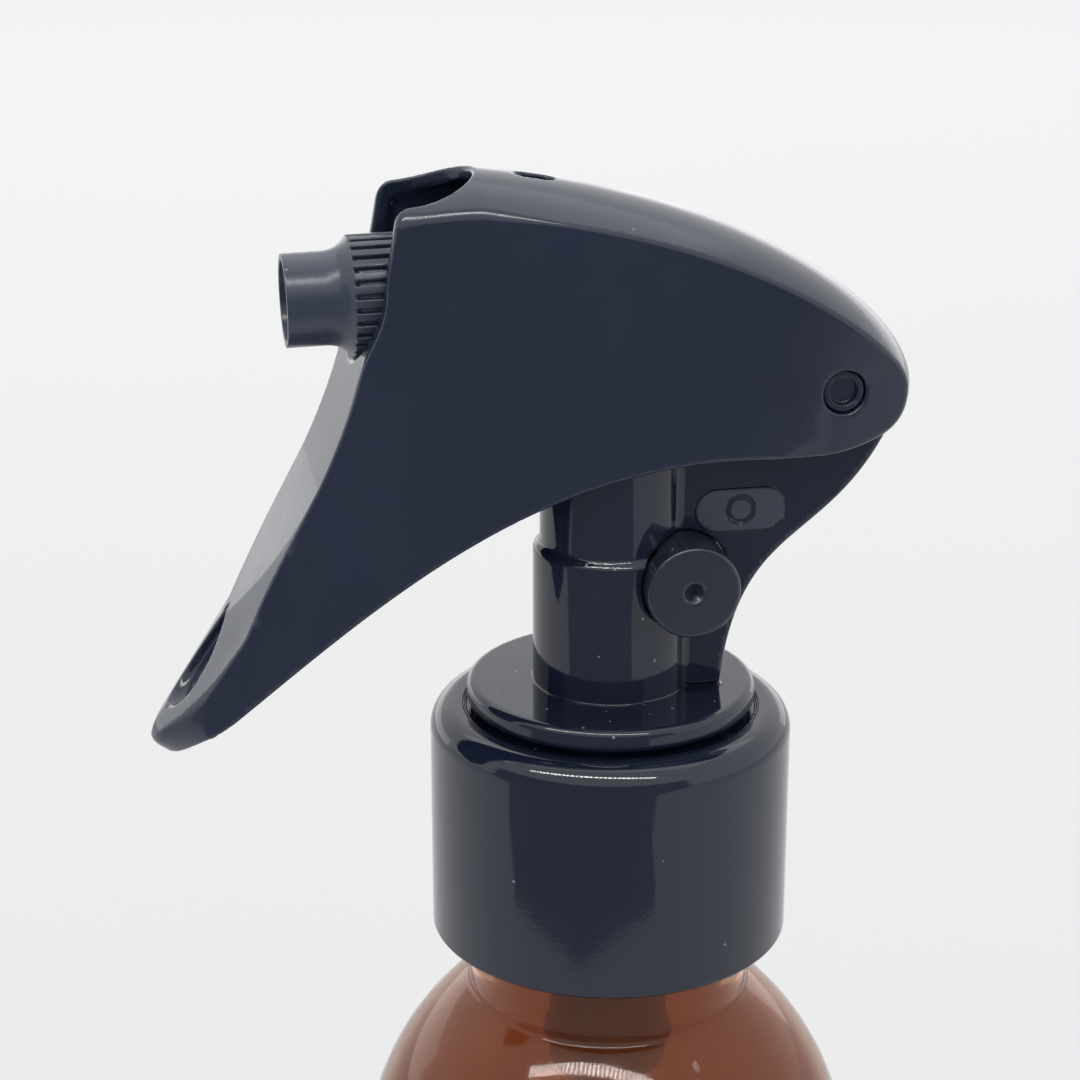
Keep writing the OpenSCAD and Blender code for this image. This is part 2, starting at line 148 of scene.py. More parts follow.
def both(a, b, r):
    """Where a and b overlap, with the outer edge rounded to radius r."""
    return np.minimum(-r, np.maximum(a, b)) + np.hypot(np.maximum(r + a, 0), np.maximum(r + b, 0))


def joined(a, b, r):
    """a and b together, with a fillet of radius r between them."""
    return -both(-a, -b, r)


def cut(a, b, r):
    """a without b, with the edge rounded to radius r."""
    return both(a, -b, r)


def rod(a, b, r):
    """A round bar of radius r without ends, from two coordinates across it."""
    return np.hypot(a, b) - r


# ---------------------------------------------------------------- meshing of a field
def grid(low, high, step):
    """Evenly spaced values from low to high, about step apart."""
    return np.linspace(low, high, max(4, int(math.ceil((high - low) / (step * COARSE))) + 1))


def surface_net(field, axes):
    """Quads on the surface where the field is zero, with one vertex in each cell it crosses."""
    value = field(*np.meshgrid(*axes, indexing="ij", sparse=True))
    inside = value < 0
    shape = [n - 1 for n in value.shape]
    count = np.zeros(shape, np.int8)
    for d in itertools.product((0, 1), repeat=3):
        count += inside[tuple(slice(k, k + n) for k, n in zip(d, shape))]
    crossed = (count > 0) & (count < 8)
    index = np.full(shape, -1)
    index[crossed] = np.arange(crossed.sum())
    cell = np.nonzero(crossed)
    total, found = np.zeros((len(cell[0]), 3)), np.zeros(len(cell[0]))
    for k in range(3):
        for d in itertools.product((0, 1), repeat=2):
            start = [c.copy() for c in cell]
            for axis, shift in zip([a for a in range(3) if a != k], d):
                start[axis] = start[axis] + shift
            end = [c + (axis == k) for axis, c in enumerate(start)]
            a, b = value[tuple(start)], value[tuple(end)]
            hit = (a < 0) != (b < 0)
            t = np.where(hit, a / np.where(hit, a - b, 1), 0)
            for axis in range(3):
                p, q = axes[axis][start[axis]], axes[axis][end[axis]]
                total[:, axis] += np.where(hit, p + t * (q - p), 0)
            found += hit
    points = total / found[:, None]
    quads = []
    for k in range(3):
        order = (k, (k + 1) % 3, (k + 2) % 3)
        state, number = inside.transpose(order), index.transpose(order)
        start = state[:-1, 1:-1, 1:-1]
        i, p, q = np.nonzero(start != state[1:, 1:-1, 1:-1])
        quad = np.stack([number[i, p, q], number[i, p + 1, q], number[i, p + 1, q + 1],
                         number[i, p, q + 1]], 1)
        quads.append(np.where(start[i, p, q][:, None], quad, quad[:, ::-1]))
    return points, np.vstack(quads)


def slope(field, points):
    """The field's gradient at some points."""
    step = 0.02
    g = np.empty_like(points)
    for k in range(3):
        d = np.zeros(3)
        d[k] = step
        g[:, k] = (field(*(points + d).T) - field(*(points - d).T)) / (2 * step)
    return g


def onto(field, points):
    """Moves points onto the surface where the field is zero, in three steps of 0.3 mm at most."""
    for _ in range(3):
        g = slope(field, points)
        move = -(field(*points.T) / np.maximum((g * g).sum(1), 0.1))[:, None] * g
        size = np.linalg.norm(move, axis=1, keepdims=True)
        points = points + move * np.minimum(1, 0.3 / np.maximum(size, SMALL))
    return points


def unit(v):
    """The same directions with length 1."""
    return v / np.maximum(np.linalg.norm(v, axis=1, keepdims=True), SMALL)


def finer(field, points, faces, bend):
    """The same surface with its edges halved where the normals turn by more degrees than bend."""
    normals = unit(slope(field, points))
    mesh = bmesh.new()
    verts = [mesh.verts.new(p) for p in points]
    mesh.verts.index_update()
    for f in faces:
        ring = [verts[i] for i in f]
        try:
            mesh.faces.new(ring)
        except ValueError:
            pass        # a second face on the same vertices is left out
    limit = math.cos(math.radians(bend))
    edges = [e for e in mesh.edges
             if normals[e.verts[0].index] @ normals[e.verts[1].index] < limit]
    bmesh.ops.subdivide_edges(mesh, edges=edges, cuts=1, use_grid_fill=True)
    bmesh.ops.triangulate(mesh, faces=[f for f in mesh.faces if len(f.verts) > 4])
    mesh.verts.index_update()
    points = np.array([v.co[:] for v in mesh.verts])
    faces = [[v.index for v in f.verts] for f in mesh.faces]
    mesh.free()
    return onto(field, points), faces


def carved(field, axes, bend=20):
    """Vertices, faces and normals of a field's surface, finer where it bends by more degrees."""
    points, faces = surface_net(field, axes)
    points = onto(field, points)
    points, faces = finer(field, points, faces, bend)
    return points, faces, unit(slope(field, points))


# ---------------------------------------------------------------- turned pieces
def rounded(corners, closed=True):
    """Profile points (r, s, normal r, normal s) of a polygon whose corners are (r, s, fillet).
    The polygon runs with its material on the left."""
    pts = np.array([c[:2] for c in corners], float)
    rows = []
    last = len(pts) - 1
    for i, (p, fillet) in enumerate(zip(pts, [c[2] for c in corners])):
        if not closed and i in (0, last):
            along = pts[1] - pts[0] if i == 0 else pts[last] - pts[last - 1]
            along = along / np.hypot(*along)
            rows.append((p[0], p[1], along[1], -along[0]))
            continue
        a, b = p - pts[i - 1], pts[(i + 1) % len(pts)] - p
        a, b = a / np.hypot(*a), b / np.hypot(*b)
        turn = math.atan2(a[0] * b[1] - a[1] * b[0], a @ b)
        reach = fillet * math.tan(abs(turn) / 2)
        steps = max(2, int(math.ceil(abs(math.degrees(turn)) / 7)))
        start, side = p - a * reach, math.copysign(1, turn)
        centre = start + side * fillet * np.array([-a[1], a[0]])
        for k in range(steps + 1):
            angle = turn * k / steps
            c, s = math.cos(angle), math.sin(angle)
            n = np.array([a[1] * c + a[0] * s, a[1] * s - a[0] * c])
            rows.append((*(centre + side * fillet * n), *n))
    return np.array(rows)


def filled(rows, gap, closed=True):
    """The same profile with points added so that no two are further apart than gap."""
    out = []
    count = len(rows) if closed else len(rows) - 1
    for i in range(count):
        a, b = rows[i], rows[(i + 1) % len(rows)]
        n = max(1, int(math.ceil(np.hypot(*(b - a)[:2]) / gap)))
        out += [a + (b - a) * k / n for k in range(n)]
    if not closed:
        out.append(rows[-1])
    return np.array(out)


def turned(rows, sides, raise_by=None, closed=True):
    """Vertices, faces and normals of a profile turned about the vertical axis.
    raise_by(angle, r, s) moves the surface outwards along its normal."""
    angle = np.arange(sides) * 2 * math.pi / sides
    r, s, nr, ns = (rows[:, k][:, None] for k in range(4))
    nt = np.zeros((len(rows), sides))
    nr, ns = nr + nt, ns + nt
    if raise_by is not None:
        lift = raise_by(angle[None, :], r, s)
        d = 1e-4
        by_turn = (raise_by(angle[None, :] + d, r, s) - raise_by(angle[None, :] - d, r, s)) / (2 * d)
        by_s = (raise_by(angle[None, :], r, s + d) - raise_by(angle[None, :], r, s - d)) / (2 * d)
        along_s = by_s * nr
        r, s = r + lift * nr, s + lift * ns
        nr, ns, nt = nr + along_s * ns, ns - along_s * nr, -by_turn / np.maximum(r, 0.5)
    c, w = np.cos(angle)[None, :], np.sin(angle)[None, :]
    points = np.stack([r * c, r * w, s + 0 * c], -1).reshape(-1, 3)
    normals = unit(np.stack([nr * c - nt * w, nr * w + nt * c, ns], -1).reshape(-1, 3))
    n = len(rows)
    i, j = np.meshgrid(np.arange(n if closed else n - 1), np.arange(sides), indexing="ij")
    a, b = (i * sides + j).ravel(), (i * sides + (j + 1) % sides).ravel()
    c, d = ((i + 1) % n * sides + (j + 1) % sides).ravel(), ((i + 1) % n * sides + j).ravel()
    faces = np.stack([a, b, c, d], 1).tolist()
    return points, faces, normals


def merged(points, faces, normals):
    """Welds vertices that lie in one place, such as those on the axis."""
    key = np.round(points, 5)
    _, first, place = np.unique(key, axis=0, return_index=True, return_inverse=True)
    place = place.ravel()
    kept = []
    for f in faces:
        ring = [int(place[i]) for i in f]
        ring = [v for k, v in enumerate(ring) if v != ring[k - 1]]
        if len(ring) > 2:
            kept.append(ring)
    return points[first], kept, normals[first]


def laid(shape, centre, direction):
    """A turned shape with its axis moved from the vertical to a direction through centre."""
    points, faces, normals = shape
    turn = np.array(Vector(direction).to_track_quat("Z", "Y").to_matrix())
    return points @ turn.T + np.array(centre), faces, normals @ turn.T


def piece(name, body, material, nodes, shape):
    """One object in the shared frame, from vertices, faces and normals in millimetres."""
    points, faces, normals = shape
    co = points * MM + np.array([0, 0, RIM_Z])
    mesh = bpy.data.meshes.new(name)
    mesh.from_pydata(co.tolist(), [], [[int(i) for i in ring] for ring in faces])
    mesh.update()
    mesh.shade_smooth()
    mesh.normals_split_custom_set_from_vertices(normals.tolist())
    mesh.materials.append(material)
    obj = bpy.data.objects.new(name, mesh)
    bpy.context.scene.collection.objects.link(obj)
    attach(obj, body)
    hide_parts(*nodes)


# ---------------------------------------------------------------- materials
class Look:
    """A Principled material whose colour, roughness and bump come from object-space textures."""

    def __init__(self, name, **values):
        self.material = bpy.data.materials.new(name)
        self.material.use_nodes = True
        self.tree = self.material.node_tree
        self.shader = self.tree.nodes["Principled BSDF"]
        self.place = self.tree.nodes.new("ShaderNodeTexCoord").outputs["Object"]
        for key, value in values.items():
            self.shader.inputs[key.replace("_", " ")].default_value = value

    def node(self, kind, links=(), **values):
        """A new node, with its settings, its inputs' values and the links to its inputs."""
        made = self.tree.nodes.new("ShaderNode" + kind)
        for key, value in values.items():
            if hasattr(made, key):
                setattr(made, key, value)
            else:
                made.inputs[key.replace("_", " ")].default_value = value
        for socket, source in dict(links).items():
            self.tree.links.new(source, made.inputs[socket])
        return made

    def noise(self, per_metre, detail=2.0, stretch=None):
        """Smooth noise from 0 to 1."""
        source = self.place
        if stretch is not None:
            source = self.node("Mapping", {"Vector": source}, Scale=stretch).outputs[0]
        return self.node("TexNoise", {"Vector": source}, Scale=per_metre, Detail=detail).outputs["Fac"]

    def specks(self, per_metre, size, share):
        """1 on small round specks in a share of the texture's cells, 0 elsewhere."""
        cells = self.node("TexVoronoi", {"Vector": self.place}, Scale=per_metre)
        near = self.span(cells.outputs["Distance"], size, size * 0.5, 0, 1)
        pick = self.node("SeparateColor", {"Color": cells.outputs["Color"]}).outputs[0]
        return self.times(near, self.math("LESS_THAN", pick, share))

    def span(self, value, low, high, to_low, to_high):
        """Maps low..high onto to_low..to_high and holds the ends."""
        made = self.node("MapRange", {"Value": value})
        for key, number in zip(("From Min", "From Max", "To Min", "To Max"),
                               (low, high, to_low, to_high)):
            made.inputs[key].default_value = number
        return made.outputs[0]

    def math(self, kind, a, b):
        made = self.node("Math", operation=kind)
        for k, source in enumerate((a, b)):
            if isinstance(source, (int, float)):
                made.inputs[k].default_value = source
            else:
                self.tree.links.new(source, made.inputs[k])
        return made.outputs[0]

    def times(self, a, b):
        return self.math("MULTIPLY", a, b)

    def plus(self, a, b):
        return self.math("ADD", a, b)

    def blend(self, amount, a, b):
        """Colour a where the amount is 0, colour b where it is 1."""
        made = self.node("Mix", {"Factor": amount}, data_type="RGBA")
        for k, source in zip((6, 7), (a, b)):
            if isinstance(source, tuple):
                made.inputs[k].default_value = (*source, 1)
            else:
                self.tree.links.new(source, made.inputs[k])
        return made.outputs[2]

    def set(self, socket, source):
        self.tree.links.new(source, self.shader.inputs[socket])

    def bump(self, height, depth_mm):
        made = self.node("Bump", {"Height": height}, Strength=1.0, Distance=depth_mm * MM)
        self.set("Normal", made.outputs[0])


def moulded(name, dark, light, rough, grain_mm, wear=0.12, dust=0.0, plate=False):
    """Injection-moulded black plastic: slight waviness, rubbed edges and a few specks of dust.
    With plate, the raised mark plates are matt and a little lighter."""
    look = Look(name, IOR=1.5)
    flow = look.noise(60, 3, (1, 1, 0.45))
    edge = look.node("NewGeometry").outputs["Pointiness"]
    rub = look.times(look.span(edge, 0.53, 0.62, 0, wear), look.span(look.noise(900), 0.35, 0.6, 0.4, 1))
    colour = look.blend(look.span(flow, 0.35, 0.65, 0, 1), dark, light)
    colour = look.blend(rub, colour, (0.16, 0.17, 0.2))
    fine = look.noise(2600, 2)
    rough_now = look.plus(look.span(look.noise(240, 4), 0.3, 0.7, rough * 0.8, rough * 1.25),
                          look.times(rub, 0.3))
    if plate:
        part = look.node("SeparateXYZ", {"Vector": look.place}).outputs
        off_face = look.span(look.math("ABSOLUTE", part[1], 0), (WEB_HALF + 0.1) * MM,
                             (WEB_HALF + 0.16) * MM, 0, 1)
        near = look.math("ABSOLUTE", look.plus(part[0], -PLATE[0] * MM), 0)
        high = look.math("ABSOLUTE", look.plus(part[2], -(PLATE[1] * MM + RIM_Z)), 0)
        matt = look.times(off_face, look.times(look.math("LESS_THAN", near, 4.2 * MM),
                                               look.math("LESS_THAN", high, 2.1 * MM)))
        colour = look.blend(matt, colour, (0.028, 0.036, 0.060))
        rough_now = look.plus(rough_now, look.times(matt, 0.5))
    if dust:
        facing = look.node("NewGeometry").outputs["Normal"]
        upward = look.node("SeparateXYZ", {"Vector": facing}).outputs[2]
        share = look.span(upward, 0.3, 0.9, dust * 0.3, dust)
        specks = look.specks(820, 0.12, share)
        colour = look.blend(specks, colour, (0.24, 0.26, 0.3))
        rough_now = look.plus(rough_now, look.times(specks, 0.5))
    look.set("Base Color", colour)
    look.set("Roughness", rough_now)
    look.bump(look.plus(look.times(fine, 0.25), look.noise(130, 2)), grain_mm)
    return look.material


def amber_pet():
    """Blown amber bottle plastic: clear, with slightly uneven colour and faint flow waves."""
    look = Look("amber_pet", IOR=1.33, Transmission_Weight=0.97)
    waves = look.noise(70, 3, (1, 1, 0.4))
    colour = look.blend(look.span(waves, 0.3, 0.7, 0, 1), (0.39, 0.175, 0.088), (0.46, 0.225, 0.125))
    look.set("Base Color", colour)
    look.set("Roughness", look.span(look.noise(500, 3), 0.3, 0.7, 0.05, 0.09))
    look.bump(look.plus(look.noise(110, 2), look.times(look.noise(1500), 0.04)), 0.05)
    return look.material


def milky(name, colour, rough, see=0.0):
    """Natural, uncoloured moulded plastic."""
    look = Look(name, IOR=1.5, Transmission_Weight=see, Subsurface_Weight=0.15)
    look.shader.inputs["Subsurface Radius"].default_value = (0.002, 0.002, 0.0018)
    darker = tuple(c * 0.86 for c in colour)
    look.set("Base Color", look.blend(look.span(look.noise(220, 3), 0.35, 0.65, 0, 1), darker, colour))
    look.set("Roughness", look.span(look.noise(800), 0.3, 0.7, rough * 0.8, rough * 1.2))
    look.bump(look.noise(1800, 2), 0.02)
    return look.material


def steel(name, rough):
    """Bright steel with a fine drawn grain."""
    look = Look(name, Metallic=1.0)
    look.set("Base Color", look.blend(look.noise(600, 3), (0.5, 0.5, 0.49), (0.68, 0.68, 0.67)))
    look.set("Roughness", look.span(look.noise(1500, 3), 0.3, 0.7, rough, rough * 1.6))
    look.bump(look.noise(3000, 1, (1, 1, 0.1)), 0.01)
    return look.material


def soft(name, dark, light, rough):
    """Foam liner or rubber."""
    look = Look(name, IOR=1.45)
    look.set("Base Color", look.blend(look.noise(1400, 4), dark, light))
    look.set("Roughness", look.span(look.noise(900), 0.3, 0.7, rough * 0.9, rough * 1.1))
    look.bump(look.noise(2600, 3), 0.06)
    return look.material


SHELL_BLACK = moulded("black_gloss_shell", (0.0095, 0.0145, 0.032), (0.0125, 0.0185, 0.040), 0.17, 0.012,
                      dust=0.03)
BODY_BLACK = moulded("black_gloss_body", (0.0085, 0.012, 0.026), (0.0105, 0.0145, 0.031), 0.06, 0.008,
                     wear=0.02, dust=0.35, plate=True)
CLOSURE_BLACK = moulded("black_gloss_closure", (0.0070, 0.0105, 0.023), (0.0090, 0.0130, 0.028), 0.055,
                        0.008, dust=0.14)
NOZZLE_BLACK = moulded("black_satin_nozzle", (0.023, 0.031, 0.053), (0.030, 0.040, 0.067), 0.27, 0.03,
                       dust=0.1)
BUTTON_BLACK = moulded("black_satin_button", (0.012, 0.0175, 0.029), (0.016, 0.023, 0.037), 0.2, 0.02,
                       dust=0.25)
AMBER = amber_pet()
NATURAL = milky("natural_plastic", (0.78, 0.78, 0.74), 0.35)
TUBE = milky("clear_tube", (0.86, 0.86, 0.83), 0.22, 0.7)
FOAM = soft("seal_foam", (0.66, 0.65, 0.6), (0.8, 0.79, 0.75), 0.7)
RUBBER = soft("seal_rubber", (0.012, 0.012, 0.012), (0.03, 0.03, 0.03), 0.55)
SPRING = steel("spring_steel", 0.22)
BALL = steel("ball_steel", 0.07)


# ---------------------------------------------------------------- trigger shell
# seen from the side the shell is front edge, underside and rear; crown and plan round it off
WALL = 1.2
NOTCH_HALF, NOTCH_END = 5.35, -17.6     # half the nozzle's opening, and where its round end starts
PAD_H, PAD_R = 59.9, 1.3                # the pads inside, which push on the spout's pegs
PAD_MIDDLE, PAD_HALF = 6.1, 1.4         # their place and half length in y
CROWN_HOLE_X, CROWN_HOLE_R, CROWN_HOLE_HALF = -6.9, 0.95, 0.7
DROP_DEPTH = 1.0                        # depth of the drop-shaped recess
RIDGE_H, RIDGE_FALL, RIDGE_STEP = 61.2, 0.2, 0.26   # the soft ridge on the sides
EAR_STEP = 0.13                         # how much lower the ear round the pin is
STRIP_HALF = 6.1                        # half the strip's flat middle, at its top
front_edge = path(
    curve((-19.0, 82), (-19.1, 76), (-19.15, 72), (-19.2, 69.5), 4),
    curve((-19.2, 69.5), (-19.4, 66), (-20.2, 63.5), (-20.4, 61), 10),
    curve((-20.4, 61), (-20.8, 57.6), (-22, 57), (-22.73, 54.3), 10),
    curve((-22.73, 54.3), (-25.5, 43.8), (-32.8, 33.6), (-39.9, 22.75), 40))
side_outline = path(
    front_edge,
    curve((-39.9, 22.75), (-40.5, 21.7), (-40.9, 20.3), (-39.7, 19.8), 8),
    curve((-39.7, 19.8), (-38.7, 19.5), (-37.7, 21.3), (-36.4, 22.6), 10),
    curve((-36.4, 22.6), (-20.9, 34.5), (-8.6, 46.6), (11.3, 45.7), 40),
    (14.5, 45.65),
    curve((17.5, 45.7), (22.5, 45.7), (26.5, 46.0), (28.0, 51.0), 16),
    (29.5, 56), (34, 82))
front_outline = path(front_edge, (-39.9, 22.75), (-46, 13.6), (-46, 10), (34, 10), (34, 82))
crown_outline = path(
    (-50, 68), (-24, 69.05),
    curve((-19, 69.4), (-17, 69.55), (-14.5, 70), (-12, 70), 10),
    curve((-12, 70), (11.1, 67.2), (25.75, 56.9), (25.75, 51.0), 60),
    curve((25.75, 51.0), (25.75, 49.0), (25.2, 47.0), (22.6, 45.5), 12),
    (18.5, 43.2), (18.5, 8), (-50, 8))
plan_outline = path(
    (-46, 6.75), (-30, 6.75),
    curve((-30, 6.75), (-19, 6.75), (-10, 7.95), (4, 8), 24),
    curve((4, 8), (14, 8), (19, 7.9), (23, 7.2), 16),
    (31, 5.6), (34, -8), (-46, -8))
# the tongue's rounded end, seen square to the strip: u runs up along the strip, v is |y|
TONGUE, TONGUE_UP = (-39.3, 22.3), (0.564, 0.826)
tongue_outline = path(
    curve((-2.1, 0), (-2.1, 1.0), (-1.2, 2.2), (1.5, 3.5), 16),
    curve((1.5, 3.5), (5.5, 5.3), (10, 6.4), (16, 6.95), 16),
    (24, 8), (90, 9.5), (90, -8), (-2.1, -8))
LOW, HIGH = (-43.0, 14.0), (31.0, 76.0)
side_d = Outline(side_outline, LOW, HIGH)
front_d = Outline(front_outline, LOW, HIGH)
crown_d = Outline(crown_outline, LOW, HIGH)
plan_d = Outline(plan_outline, (-43.0, -1.0), (31.0, 10.0))
tongue_d = Outline(tongue_outline, (-9.0, -1.0), (90.0, 10.0))
# the ear round the pin is a hair lower than the side; its border runs through the pin's hole
ear_outline = path(
    curve((13.0, 44.3), (13.7, 47.2), (17.6, 45.4), (16.5, 48.8), 14),
    curve((16.5, 48.8), (17.0, 51.5), (21, 52.4), (25, 55.0), 14),
    (34, 56), (34, 44))
ear_d = Outline(ear_outline, (10.0, 42.0), (31.0, 60.0))
drop_outline = path(
    curve((0, 32.8), (1.1, 31), (2.6, 29.6), (2.6, 27), 12),
    curve((2.6, 27), (2.6, 25.2), (1.4, 24.1), (0, 24.1), 12),
    curve((0, 24.1), (-1.4, 24.1), (-2.6, 25.2), (-2.6, 27), 12),
    curve((-2.6, 27), (-2.6, 29.6), (-1.1, 31), (0, 32.8), 12))
drop_d = Outline(drop_outline, (-8.0, 18.0), (8.0, 40.0))


def nozzle_axes(x, y, h):
    """Distance along the nozzle's axis, and the two coordinates across it."""
    dx, dh = x - NOZZLE[0], h - NOZZLE[1]
    along = -dx * math.cos(TILT) - dh * math.sin(TILT)
    across = dh * math.cos(TILT) - dx * math.sin(TILT)
    return along, y, across


def shell_skin(x, y, h, wall):
    """The shell's outer form for wall 0, and the hollow's form for the wall's thickness."""
    across = 12.5 + 3 * smooth(-18, 4, x)
    crown = np.hypot(np.maximum(across + crown_d(x, h), 0), y) - across
    flat = plan_d(x, np.abs(y))
    up = (x - TONGUE[0]) * TONGUE_UP[0] + (h - TONGUE[1]) * TONGUE_UP[1]
    front = front_d(x, h)
    lean = 0.7 * np.clip(-front, 0, 5) * smooth(-2.5, 3, up)
    flat = both(flat, tongue_d(up, np.abs(y) - lean), 1.2)
    if wall:
        # the strip gets thicker towards its end, behind the drop-shaped recess
        thick = wall + 1.5 * smooth(35, 31, h)
        return both(both(crown + wall, flat + wall, 0.8), front + thick, 0.8)
    # the narrower band above a soft ridge that fades towards the rear
    ridge = RIDGE_H - RIDGE_FALL * (x + 20.3)
    flat = flat + RIDGE_STEP * smooth(-0.65, 0.65, h - ridge) * smooth(-6, -18, x)
    flat = flat + EAR_STEP * smooth(0.8, -0.8, ear_d(x, h))
    # the strip's flat middle narrows downwards between two bevels
    share = np.clip((45 - h) / 13, 0, 1)
    middle = STRIP_HALF * (1 - share ** 2.3)
    off = np.maximum(np.abs(y) - middle, 0)
    bevel = 0.22 * (np.sqrt(off * off + 0.04) - 0.2) - 0.4 * share
    side = side_d(x, h) + bevel * smooth(-3, -0.5, front)
    edge = 0.32 + 0.2 * smooth(-2.6, -0.8, front) + 0.4 * smooth(-6, -12, x) * smooth(65, 68, h)
    return both(both(crown, side, 1.1), flat, edge)


def shell_field(x, y, h):
    """The hollow shell with its pads, its openings and the hole for the pin."""
    body = cut(shell_skin(x, y, h, 0), shell_skin(x, y, h, WALL), 0.3)
    # pads that push on the spout's pegs
    pad = np.maximum(np.hypot(x, h - PAD_H) - PAD_R, np.abs(np.abs(y) - PAD_MIDDLE) - PAD_HALF)
    body = joined(body, pad, 0.25)
    # opening for the nozzle
    past = np.maximum(x - NOTCH_END, 0)
    slot = np.hypot(past, y) - NOTCH_HALF
    along, a, b = nozzle_axes(x, y, h)
    trough = np.maximum(rod(a, b, NOTCH_HALF - 0.05), -1 - along)
    notch = np.minimum(both(slot, NOZZLE[1] - h, 0.1), trough)
    body = cut(body, notch, 0.38)
    # small oblong hole in the crown
    off = np.maximum(np.abs(x - CROWN_HOLE_X) - CROWN_HOLE_HALF, 0)
    hole = np.hypot(off, y) - CROWN_HOLE_R
    body = cut(body, np.maximum(hole, 60 - h), 0.25)
    # drop-shaped recess near the strip's end
    depth = -DROP_DEPTH - front_d(x, h)
    body = cut(body, both(drop_d(y, h), depth, 0.4), 0.35)
    # hole for the pin
    return cut(body, rod(x - HINGE[0], h - HINGE[1], PIN_R + 0.06), 0.25)


def trigger_shell():
    axes = (grid(shell_low.x - 0.9, shell_high.x + 0.7, 0.36),
            grid(-SHELL_HALF - 0.6, SHELL_HALF + 0.6, 0.34),
            grid(shell_low.z - 0.8, shell_high.z + 0.9, 0.36))
    piece("trigger_shell_moulding", "trigger", SHELL_BLACK, ["trigger_shell"],
          carved(shell_field, axes))


# ---------------------------------------------------------------- pump body
FLANGE_R = 12.85
FLANGE_LOW, FLANGE_TOP = 21.7, 23.75
COLLAR_R, COLLAR_LOW = 10.7, 18.35      # the part in the closure's hole
SOCKET_R = 8.9                          # takes the pump cylinder
TUBE_R, TUBE_TOP_R, TUBE_BORE_R = 6.95, 6.35, 5.4
TUBE_STEP, TUBE_END = 36.6, 50.0
BOSS_R, BOSS_HALF = 3.0, 5.9            # round the hinge pin
PLATE_HALF, PLATE_R, PLATE_RISE = 2.05, 1.9, 0.28
web_outline = path(
    (4, 24), (8.7, 24),
    curve((9.0, 23.6), (10.4, 39.2), (18.1, 35.8), (23.5, 46.6), 40),
    curve((23.5, 46.6), (24.6, 51.0), (20.6, 55.6), (17.4, 55.1), 14),
    (5.4, 49.0), (4, 49))
web_d = Outline(web_outline, (0.0, 18.0), (28.0, 60.0))


def plate(x, y, h):
    """The raised mark plates: a rounded bar on both faces of the bracket."""
    along = np.hypot(np.maximum(np.abs(x - PLATE[0]) - PLATE_HALF, 0), h - PLATE[1]) - PLATE_R
    return both(along, np.abs(y) - (WEB_HALF + PLATE_RISE), 0.12)


def mark(x, y, h):
    """Plain marks in the plates: an open ring where the spray is locked, a bar on the other side."""
    ring = np.abs(np.hypot(x - PLATE[0], h - PLATE[1]) - 1.15) - 0.2
    bar = np.hypot(np.maximum(np.abs(x - PLATE[0]) - 1.2, 0), h - PLATE[1]) - 0.24
    return np.where(y < 0, ring, bar)


def body_field(x, y, h):
    """The flange and stem housing with the hinge bracket behind, as one moulding."""
    r = np.hypot(x, y)
    middle, half = (FLANGE_LOW + FLANGE_TOP) / 2, (FLANGE_TOP - FLANGE_LOW) / 2
    flange = both(r - FLANGE_R, np.abs(h - middle) - half, 0.7)
    lower = both(r - TUBE_R, h - TUBE_STEP, 0.6)
    upper = both(r - TUBE_TOP_R, h - TUBE_END, 0.3)
    tube = joined(lower, upper, 0.45)
    collar = np.maximum(r - COLLAR_R, h - FLANGE_LOW - 0.5)
    body = joined(joined(flange, collar, 0.1), np.maximum(tube, FLANGE_LOW + 0.3 - h), 0.15)
    web = both(web_d(x, h), np.abs(y) - WEB_HALF, 0.3)
    body = joined(body, web, 0.4)
    boss = rod(x - HINGE[0], h - HINGE[1], BOSS_R)
    body = joined(body, both(boss, np.abs(y) - BOSS_HALF, 0.25), 0.2)
    body = joined(body, plate(x, y, h), 0.06)
    body = cut(body, both(mark(x, y, h), WEB_HALF + 0.1 - np.abs(y), 0.05), 0.08)
    body = np.maximum(body, TUBE_BORE_R - r)
    body = np.maximum(body, -np.maximum(r - SOCKET_R, h - FLANGE_LOW))
    body = np.maximum(body, COLLAR_LOW - h)
    body = cut(body, rod(x - BUTTON[0], h - BUTTON[1], BUTTON_R + 0.06), 0.2)
    return cut(body, rod(x - HINGE[0], h - HINGE[1], PIN_R + 0.06), 0.15)


def pump_body():
    axes = (grid(-13.4, 24.6, 0.32), grid(-13.3, 13.3, 0.32), grid(17.8, 56.2, 0.32))
    piece("pump_body_moulding", "pump", BODY_BLACK, ["pump_body"],
          carved(body_field, axes))


# ---------------------------------------------------------------- nozzle, spout, button, pin
GRIP_R, FRONT_R, TIP_R, BARREL_R = 5.15, 3.92, 2.6, 3.6
S_BACK, S_GRIP, S_FLARE, S_FRONT, S_WALL = -0.5, 6.75, 8.9, 12.1, 9.6
RIBS, GROOVE_HALF, GROOVE_DEPTH = 28, 0.21, 0.5
HUB_R, HUB_H, HUB_HALF = 4.3, 53.4, 7.4         # the spout's hub on the stem
PEG_R, PEG_H, PEG_HALF = 1.5, 57, 6.2
STEM_SOCKET_R, STEM_SOCKET_END, SPOUT_BORE_R = 2.4, 54, 1.6
DIMPLE_R, DIMPLE_SLOPE = 0.95, 0.8              # the cone sunk in the button's face
CUP_R, CUP_DEPTH = 1.25, 0.7                    # the cups in the pin's ends
FLAT_X, FLAT_FRONT, FLAT_REAR = 2.7, -6.2, 3.0  # the button's flat, which clears the stem
